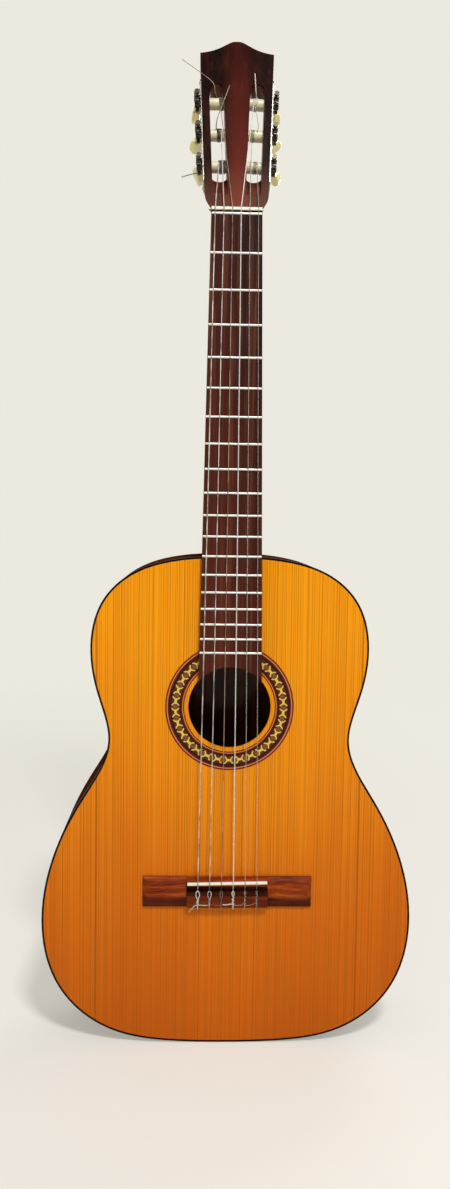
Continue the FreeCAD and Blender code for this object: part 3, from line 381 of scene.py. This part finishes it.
def plain(name, code, spread=0.06, roughness=0.4, metallic=0.0, grime=None, scale=90, sockets=None):
    finish, tree, shader = newFinish(name, {"Metallic": metallic, "Coat Roughness": 0.12, **(sockets or {})})
    spot = objectSpot(tree)
    soft = cloud(tree, spot, scale=scale, detail=4)
    base = colour(code)
    darker = [part * (1 - spread * plainFinish["darker"]) for part in base[:3]] + [1]
    lighter = [min(1, part * (1 + spread * plainFinish["lighter"])) for part in base[:3]] + [1]
    shade = blendColours(tree, soft, darker, lighter)
    if grime:
        dirt = cloud(tree, spot, scale=scale * plainFinish["grimeFineness"], detail=6)
        shade = blendColours(tree, shades(tree, dirt, plainFinish["grimeEdge"]), shade, colour(grime))
    paint(tree, shader, shade)
    rub = ease(tree, cloud(tree, spot, scale=scale * plainFinish["rubFineness"], detail=5), 0.0, 1.0,
               low=roughness * plainFinish["rubFrom"], high=roughness * plainFinish["rubTo"], smooth=False)
    tree.links.new(rub, shader.inputs["Roughness"])
    addBump(tree, shader, soft, 0.06, 0.0004)
    return finish


rosette = {
    "flowers": 30,
    "bandFrom": 0.0494,
    "bandTo": 0.0586,
    "leafEnd": 0.0043,  # outer radius of the leaves round each flower
    # from each flower's middle outwards, in shares of that radius
    "rounds": [(0.0, "petal"), (0.20, "heart"), (0.34, "petal"), (0.50, "heart"), (0.68, "leaf"),
               (0.98, "ground")],
    "ground": "4A2A12",
    "leaf": "D8B450",
    "petal": "8A5A34",
    "heart": "4E1A12",
    "edge": "2E0F0A",
    "rim": 0.88,  # share of the band's half width where its edge starts
    "touch": (0.0040, 0.0012),  # two leaves touch beyond the first and within the second
    "gap": (0.0013, 0.0028),  # the leaves part within the first and beyond the second
    "linesFrom": 0.045,
    "linesWide": 0.020,
    "lines": [(0.0, "5A1A10"), (0.06, "C07038"), (0.11, "5E1A12"), (0.17, "3A120C"), (0.69, "3A120C"),
              (0.77, "5E1A12"), (0.83, "C07850"), (0.88, "6A1C12")],
}


def rosetteInlay():
    finish, tree, shader = newFinish("rosette_inlay", {"Roughness": 0.38, "Coat Weight": 0.1,
                                                       "Coat Roughness": 0.1, "Specular IOR Level": 0.05})
    spot = objectSpot(tree)
    axes = axesOf(tree, spot)
    low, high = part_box("rosette")
    up = minus(tree, axes["Z"], (low.z + high.z) / 2)
    reach = distance(tree, axes["X"], up)
    around = calc(tree, "ARCTAN2", axes["X"], up)
    middle = (rosette["bandFrom"] + rosette["bandTo"]) / 2
    half = (rosette["bandTo"] - rosette["bandFrom"]) / 2
    cell = minus(tree, calc(tree, "FRACT", times(tree, around, rosette["flowers"] / math.tau)), 0.5)
    across = times(tree, cell, math.tau * middle / rosette["flowers"])
    out = minus(tree, reach, middle)
    wobble = cloud(tree, spot, scale=900, detail=2)
    ragged = plus(tree, distance(tree, across, out), times(tree, minus(tree, wobble, 0.5), 0.0007))
    flower = shades(tree, calc(tree, "DIVIDE", ragged, rosette["leafEnd"]),
                    [(start, rosette[part]) for start, part in rosette["rounds"]], smooth="CONSTANT")
    beside, beyond = absolute(tree, across), absolute(tree, out)
    touch = times(tree, over(tree, beside, rosette["touch"][0]), under(tree, beyond, rosette["touch"][1]))
    flower = blendColours(tree, touch, flower, colour(rosette["leaf"]))
    gap = times(tree, under(tree, beside, rosette["gap"][0]), over(tree, beyond, rosette["gap"][1]))
    flower = blendColours(tree, gap, flower, colour(rosette["ground"]))
    band = blendColours(tree, over(tree, beyond, half * rosette["rim"]), flower, colour(rosette["edge"]))
    outward = calc(tree, "DIVIDE", minus(tree, reach, rosette["linesFrom"]), rosette["linesWide"])
    lines = shades(tree, outward, rosette["lines"], smooth="CONSTANT")
    paint(tree, shader, blendColours(tree, under(tree, beyond, half), lines, band))
    addBump(tree, shader, wobble, 0.05, 0.0002)
    return finish


headShade = {
    "middle": 0.002,  # of the red strip down the headstock, metres to the treble side
    "stripFrom": 0.020,
    "stripTo": 0.002,
    "red": "742312",
    "redAll": 0.10,
    "redLow": 0.42,  # more of it from the top down, between these heights, a painted highlight near the nut
    "lowFrom": 1.0,
    "lowTo": 0.86,
    "foot": "8E5238",  # paler near the nut, a painted highlight
    "footStrength": 0.26,
    "footFrom": 0.885,
    "footTo": 0.832,
}


# paints the red strip, and a painted highlight near the nut: more red there and a paler foot
def headStripAndHighlight(tree, x, z, base):
    off = absolute(tree, minus(tree, x, headShade["middle"]))
    strip = ease(tree, off, headShade["stripFrom"], headShade["stripTo"])
    low = ease(tree, z, headShade["lowFrom"], headShade["lowTo"], smooth=False)
    foot = ease(tree, z, headShade["footFrom"], headShade["footTo"])
    red = times(tree, strip, plus(tree, headShade["redAll"], times(tree, low, headShade["redLow"])))
    base = blendColours(tree, red, base, colour(headShade["red"]))
    return blendColours(tree, times(tree, foot, headShade["footStrength"]), base, colour(headShade["foot"]))


boardShade = {
    "red": "7A3420",
    "bassSide": 0.14,
    "sideFrom": 0.016,
    "sideTo": -0.014,
    "bodyEnd": 0.20,
    "endFrom": 0.80,
    "endTo": 0.45,
}


def boardWarmth(tree, x, z, base):
    side = ease(tree, x, boardShade["sideFrom"], boardShade["sideTo"], smooth=False)
    low = ease(tree, z, boardShade["endFrom"], boardShade["endTo"], smooth=False)
    red = plus(tree, times(tree, side, boardShade["bassSide"]), times(tree, low, boardShade["bodyEnd"]))
    return blendColours(tree, red, base, colour(boardShade["red"]))


# painted shade on the bridge: the saddle's shadow across the channel behind it, the tie block darkened below
# that, and the lower part of each wing darkened as if turned from the lamp
paintedBridgeShade = {
    "dark": "160704",
    "blockHalf": 0.0410,
    "channelFrom": 0.43,  # shares of the bridge's height
    "channelTo": 0.68,
    "channel": 0.88,  # how dark the painted shade is at each place
    "block": 0.45,
    "wingFoot": 0.72,
    "wingFrom": 0.42,
    "wingTo": 0.25,
}


# paints that shade into the bridge wood's colour
def addPaintedBridgeShade(tree, x, z, base):
    low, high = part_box("bridge")
    height = ease(tree, z, low.z, high.z, smooth=False)
    onBlock = under(tree, absolute(tree, x), paintedBridgeShade["blockHalf"])
    above = over(tree, height, paintedBridgeShade["channelFrom"])
    channel = times(tree, above, under(tree, height, paintedBridgeShade["channelTo"]))
    block = plus(tree, times(tree, minus(tree, 1.0, above), paintedBridgeShade["block"]),
                 times(tree, channel, paintedBridgeShade["channel"]))
    wing = ease(tree, height, paintedBridgeShade["wingFrom"], paintedBridgeShade["wingTo"], high=paintedBridgeShade["wingFoot"])
    shade = addNode(tree, "Mix", {0: onBlock, 2: wing, 3: block}, data_type="FLOAT").outputs[0]
    return blendColours(tree, shade, base, colour(paintedBridgeShade["dark"]))


windingPitch = 0.00045  # of the wire round a wound string, metres


def woundString(name, dull, bright):
    finish, tree, shader = newFinish(name, {"Metallic": 0.45, "Roughness": 0.4})
    spot = objectSpot(tree)
    turns = calc(tree, "SINE", times(tree, axesOf(tree, spot)["Z"], math.tau / windingPitch))
    tarnish = cloud(tree, spot, scale=60, detail=4)
    paint(tree, shader, shades(tree, tarnish, [(0.40, dull), (0.56, bright)]))
    addBump(tree, shader, turns, 0.6, 0.00008)
    return finish


# name, then dark, middle and light tone
woods = {
    "fretboard": wood("fretboard_rosewood", ("0A0504", "261410", "6A3A28"), streaks=210, stretch=0.012,
                      gloss=0.04, roughness=0.5, tintAndPaintedLight=boardWarmth),
    # the bridge's colour gets painted shade in its channel, tie block and wing feet
    "bridge": wood("bridge_rosewood", ("4A1808", "86340F", "B0561E"), streaks=150, stretch=0.10, along="X",
                   gloss=0.0, roughness=0.46, tintAndPaintedLight=addPaintedBridgeShade),
    "head": wood("headstock_rosewood", ("0B0403", "1B0A06", "371309"), streaks=130, stretch=0.015, gloss=0.0,
                 roughness=0.3, shine=0.025, tintAndPaintedLight=headStripAndHighlight),
    "neck": wood("neck_mahogany", ("34140A", "542112", "74331C"), streaks=110, gloss=0.2),
    "back": wood("back_mahogany", ("2E1209", "4C230E", "703619"), streaks=130, stretch=0.03, gloss=0.15),
    "ribs": wood("rib_mahogany", ("2A1008", "46200D", "683218"), streaks=130, stretch=0.03, along="XZ",
                 gloss=0.0, shine=0.0),
    "inside": wood("inside_spruce", ("A8814E", "C69C62", "DAB67E"), streaks=220, gloss=0.0, roughness=0.7),
    "lining": wood("lining_lime", ("A07A4C", "BE9868", "D2B080"), streaks=160, stretch=0.05, gloss=0.0,
                   roughness=0.75),
}
finishes = {
    **woods,
    "spruce": spruceTop(),
    "rosette": rosetteInlay(),
    "binding": plain("binding_dark", "0E0605", sockets={"Specular IOR Level": 0.08}),
    "bone": plain("bone_white", "E6E0CE", spread=0.02, roughness=0.35, sockets={"Subsurface Weight": 0.08}),
    "silver": plain("fret_silver", "E6E2DA", spread=0.02, metallic=0.55),
    "plate": plain("tuner_plate_nickel", "A29C90", spread=0.08, roughness=0.3, metallic=1.0, grime="3A3228"),
    "gear": plain("gear_steel", "544E46", spread=0.12, roughness=0.26, metallic=1.0, grime="120E0B",
                  scale=420),
    "screw": plain("screw_nickel", "D0CCC2", roughness=0.25, metallic=1.0),
    "button": plain("button_cream", "E4D898", spread=0.05, roughness=0.3,
                    sockets={"Coat Weight": 0.35, "Subsurface Weight": 0.15}),
    "roller": plain("roller_cream", "CFC6A2", spread=0.05, roughness=0.38, scale=200,
                    sockets={"Subsurface Weight": 0.1}),
    "whiteNylon": plain("string_nylon_white", "E6E2D8", spread=0.03, roughness=0.25,
                        sockets={"Transmission Weight": 0.35}),
    "clearNylon": plain("string_nylon_clear", "D8D2C6", spread=0.03, roughness=0.2,
                        sockets={"Transmission Weight": 0.75}),
    "wound": woundString("string_wound", "8C857A", "D6D0C4"),
    # a browner wound string
    "brownWound": woundString("string_wound_brown", "6E5244", "AA9484"),
    # painted shade: a darker copy of the wound string for the windings on the rollers
    "shadedWound": woundString("string_wound_painted_shade", "2E2622", "9A9084"),
    "floor": floorFinish(),
}

nodeFinishes = {
    "soundboard": "spruce", "rosette": "rosette", "sound_hole_ring": "inside",
    "back": "back", "rib_left": "ribs", "rib_right": "ribs", "heel_cap": "head",
    "binding_front": "binding", "binding_back": "binding",
    "lining_front": "lining", "lining_back": "lining",
    "harmonic_bars": "inside", "fan_braces": "inside", "back_bars": "inside",
    "neck_block": "lining", "tail_block": "lining",
    "neck": "neck", "headstock_veneer": "head", "fretboard": "fretboard", "frets": "silver",
    "nut": "bone", "saddle": "bone", "bridge": "bridge",
    "tuner_plate_bass": "plate", "tuner_plate_treble": "plate",
    "plate_screws_bass": "screw", "plate_screws_treble": "screw",
}
# 1 is the thinnest treble
strings = {
    "finish": {6: "wound", 5: "wound", 4: "brownWound", 3: "whiteNylon", 2: "clearNylon", 1: "clearNylon"},
    "woundEnd": {6: "shadedWound", 5: "shadedWound"},  # on the rollers, a darker copy of the wound string as painted shade
    "radius": {6: 0.00055, 5: 0.00045, 4: 0.00038, 3: 0.00052, 2: 0.00041, 1: 0.00036},
    "spacing": 0.01186,  # at the saddle
    "sides": 3,  # smoothness round the string and along it
    "steps": 5,
}
for number, finish in strings["finish"].items():
    nodeFinishes[f"string_{number}"] = finish
    nodeFinishes[f"button_{number}"] = "button"
    nodeFinishes[f"roller_{number}"] = "roller"
    nodeFinishes[f"worm_shaft_{number}"] = "gear"
    nodeFinishes[f"worm_wheel_{number}"] = "gear"


def dress(piece, finish):
    piece.data.materials.clear()
    piece.data.materials.append(finishes[finish])


for name, finish in nodeFinishes.items():
    dress(nodes[name], finish)
print("finishes on", len(nodeFinishes), "pieces")


def meshPiece(name, corners, faces, finish):
    mesh = bpy.data.meshes.new(name)
    mesh.from_pydata(corners, [], faces)
    piece = bpy.data.objects.new(name, mesh)
    bpy.context.scene.collection.objects.link(piece)
    dress(piece, finish)
    return piece


def makeFloor():
    reach = floor["reach"]
    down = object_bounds()[0][2] - floor["drop"]
    corners = [(-reach, -reach, down), (reach, -reach, down), (reach, reach, down), (-reach, reach, down)]
    meshPiece("studio_floor", corners, [(0, 1, 2, 3)], "floor")


def stringLine(name, points, radius, body, finish):
    line = bpy.data.curves.new(name, "CURVE")
    line.dimensions = "3D"
    line.bevel_depth = radius
    line.bevel_resolution = strings["sides"]
    line.resolution_u = strings["steps"]
    line.use_fill_caps = True
    spline = line.splines.new("NURBS")
    spline.points.add(len(points) - 1)
    for point, spot in zip(spline.points, points):
        point.co = (*spot, 1)
    spline.order_u = 3
    spline.use_endpoint_u = True
    piece = bpy.data.objects.new(name, line)
    bpy.context.scene.collection.objects.link(piece)
    dress(piece, finish)
    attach(piece, body)


windings = {
    "rollerRadius": 0.0055,
    "gap": 0.00006,
    "standOff": 1.008,  # how far the turns stand off the roller
    "thin": 0.96,  # share of the string's radius
    "steps": 10,  # points to a turn
    "looseSteps": 4,  # the first points come in from the straight string
    "pitch": 2.1,  # in string radii
    "turns": {6: 5.5, 5: 4.3, 4: 4.6, 3: 3.3, 2: 3.6, 1: 4.2},
    "drift": {6: -1, 5: 1, 4: -1, 3: 1, 2: 1, 1: -1},  # 1 is away from the headstock's middle
    "endSlice": 0.0006,  # of the straight string, where the winding takes over
    # loose ends: across, up from the nut and in front of the headstock's face, millimetres
    "tails": {
        6: [(-20.5, 55.0, -18.5), (-25.0, 54.4, -21.0), (-33.0, 53.9, -21.5), (-43.0, 53.6, -21.5),
            (-53.5, 49.0, -21.5)],
        5: [(-20.5, 88.0, 2.5), (-19.2, 96.0, 4.0), (-15.4, 106.5, 5.5), (-11.5, 116.0, 9.0),
            (-7.4, 126.0, 12.0)],
        4: [(-22.5, 127.5, 2.0), (-21.5, 130.6, 6.5), (-30.0, 136.4, 10.5), (-54.0, 149.0, 16.5)],
        3: [(18.6, 126.0, 2.0), (18.0, 131.0, 4.5), (17.2, 143.0, 8.0)],
        2: [(21.4, 88.0, 2.5), (19.2, 98.5, 4.0), (17.2, 111.0, 4.5)],
        1: [(24.0, 52.0, -12), (23.0, 47.0, -14)],
    },
}


def headSpot(across, up, out):
    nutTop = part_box("nut")[1].z
    intoHead = Vector(turnAxes["key_1_turn"]["axis"]).normalized()
    upHead = Vector((1, 0, 0)).cross(intoHead)
    if upHead.z < 0:
        upHead = -upHead
    return (Vector((0, 0, nutTop)) + Vector((across, 0, 0)) / 1000
            + upHead * up / 1000 - intoHead * out / 1000)


def makeWinding(number):
    joint = turnAxes[f"peg_{number}_turn"]
    centre = Vector(joint["pos_m"])
    axis = Vector(joint["axis"]).normalized()
    side = 1 if number < 4 else -1
    if axis.x * side < 0:
        axis = -axis
    corners = [corner.co for corner in nodes[f"string_{number}"].data.vertices]
    top = max(corner.z for corner in corners)
    last = [corner for corner in corners if corner.z > top - windings["endSlice"]]
    end = sum(last, Vector()) / len(last)
    along = (end - centre).dot(axis)
    start = end - centre - axis * along
    radius = strings["radius"][number]
    reach = windings["rollerRadius"] + radius + windings["gap"]
    first = start.normalized()
    second = axis.cross(first)
    if second.z < 0:
        second = -second
    points = []
    for k in range(int(windings["turns"][number] * windings["steps"]) + 1):
        angle = math.tau * k / windings["steps"]
        loose = (start.length - reach) * max(0, 1 - k / windings["looseSteps"])
        spread = windings["drift"][number] * (windings["pitch"] * radius * angle / math.tau)
        outward = first * math.cos(angle) + second * math.sin(angle)
        points.append(centre + axis * (along + spread) + outward * (reach * windings["standOff"] + loose))
    points += [headSpot(*spot) for spot in windings["tails"][number]]
    stringLine(f"winding_{number}", points, radius * windings["thin"], f"peg_{number}",
               strings["woundEnd"].get(number, strings["finish"][number]))


for number in range(1, 7):
    makeWinding(number)
print("strings wound on the rollers")


ramp = {
    "foot": 14.0,  # nut to the ramp's lower end, all in millimetres
    "top": 35.5,  # nut to its upper end, in the slot's middle
    "slope": 0.5,  # depth gained along the headstock
    "face": -1.9,  # just under the veneer's face
    "back": 17.8,
    "halfWidth": 7.3,
    "slotLine": (15.25, 0.03814),  # slot's middle at the nut, and its lean
    "stepsAcross": 16,
    "stepsAlong": 8,
}


def makeRamp(side, name):
    middle, lean = ramp["slotLine"]
    half, foot, back = ramp["halfWidth"], ramp["foot"], ramp["back"]
    wide, long = ramp["stepsAcross"], ramp["stepsAlong"]
    rows = [[] for _ in range(long + 3)]
    for k in range(wide + 1):
        off = -half * math.cos(math.pi * k / wide)
        end = ramp["top"] + half - math.sqrt(max(0.0, half ** 2 - off ** 2))
        for j in range(long + 1):
            up = foot + (end - foot) * j / long
            rows[j].append((off, up, ramp["face"] + ramp["slope"] * (up - foot)))
        rows[long + 1].append((off, end, back))
        rows[long + 2].append((off, foot, back))
    corners = [headSpot(side * (middle + lean * up + off), up, -deep)
               for row in rows for off, up, deep in row]
    starts = [j * (wide + 1) for j in range(len(rows))]
    faces = []
    for a, b in zip(starts, starts[1:] + starts[:1]):
        faces += [(a + k, a + k + 1, b + k + 1, b + k)[::side] for k in range(wide)]
    faces.append(starts[::side])
    faces.append([start + wide for start in starts][::-side])
    piece = meshPiece(name, corners, faces, "neck")
    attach(piece, "guitar")


makeRamp(1, "slot_ramp_treble")
makeRamp(-1, "slot_ramp_bass")
print("ramps in the headstock's slots")


ties = {
    "ridge": 0.0135,  # bridge's upper edge to the tie block
    "eye": {6: 1.9, 5: 1.8, 4: 1.3, 3: 1.1, 2: 0.8, 1: 0.6},  # half width of each loop, millimetres
    "eyeLength": {6: 7.4, 5: 7.4, 4: 7.0, 3: 4.2, 2: 3.0, 1: 2.4},
    # round the loop: share of its half width, share of its length, then more up and out, millimetres
    "loop": [(0, -1, -0.6, 0.05), (-0.5, -0.8, 0, 0.1), (-1, -0.45, 0, 0.1), (-0.9, 0, 0.2, 0.2),
             (-0.2, 0, 1.3, -0.4), (0.9, 0, 0.2, 0.2), (1, -0.45, 0, 0.15), (0.5, -0.8, 0, 0.4)],
    "foot": -12.6,  # where the twists end
    "twists": 2.5,
    "twistStart": 0.4,  # below the loop
    "twistSteps": 8,  # points to a twist
    "twistRadius": 1.9,  # in string radii
    "standOff": 0.15,
    "thin": 0.92,
    # from each knot's foot: to the treble side, towards the neck, out of the soundboard
    "tails": {
        6: [(-1.6, -0.6, 0.6), (-3.8, -1.6, 0.2), (-5.2, -4.6, -0.6), (-7.0, -5.2, 0.2), (-8.6, -8.2, -1.4)],
        5: [(-1.5, -0.9, 0.3), (-5.0, -1.0, 0.1), (-11.5, -0.6, 0.1)],
        4: [(-0.9, -1.0, 0.3), (-3.4, -1.5, 0.1), (-6.0, -1.0, 0.0)],
        3: [(-1.4, 0.6, 0.4), (-3.0, 0.7, 0.2), (-6.4, -0.4, 0.1), (-10.6, -0.2, 0.0)],
        2: [(-1.3, 1.4, 0.5), (-3.4, -0.6, 0.3), (-6.6, -1.0, 0.1), (-11.2, -0.8, 0.0)],
        1: [(-1.6, 2.2, 0.5), (-4.4, -0.2, 0.3), (-7.4, -1.0, 0.1), (-11.6, -0.9, 0.0)],
    },
}


def makeTie(number):
    low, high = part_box("bridge")
    radius = strings["radius"][number]
    across = (3.5 - number) * strings["spacing"]
    ridge = high.z - ties["ridge"]
    face = low.y - radius

    def spot(x, up, out):
        return Vector((across + x / 1000, face - out / 1000, ridge + up / 1000))

    half, length, foot = ties["eye"][number], ties["eyeLength"][number], ties["foot"]
    points = [spot(half * x, length * share + up, out) for x, share, up, out in ties["loop"]]
    begin = -length - ties["twistStart"]
    swing = ties["twistRadius"] * radius * 1000
    steps = int(ties["twists"] * ties["twistSteps"])
    for k in range(steps + 1):
        angle = math.tau * k / ties["twistSteps"]
        points.append(spot(swing * math.sin(angle), begin + (foot - begin) * k / steps,
                           swing * max(0.0, math.cos(angle)) + ties["standOff"]))
    points += [spot(x, foot + up, out) for x, up, out in ties["tails"][number]]
    stringLine(f"tie_{number}", points, radius * ties["thin"], "guitar", strings["finish"][number])


for number in range(1, 7):
    makeTie(number)
print("strings tied at the bridge")

placeCamera()
placeLamps()
makeSky()
makeFloor()
print("camera, lamps and floor in place")
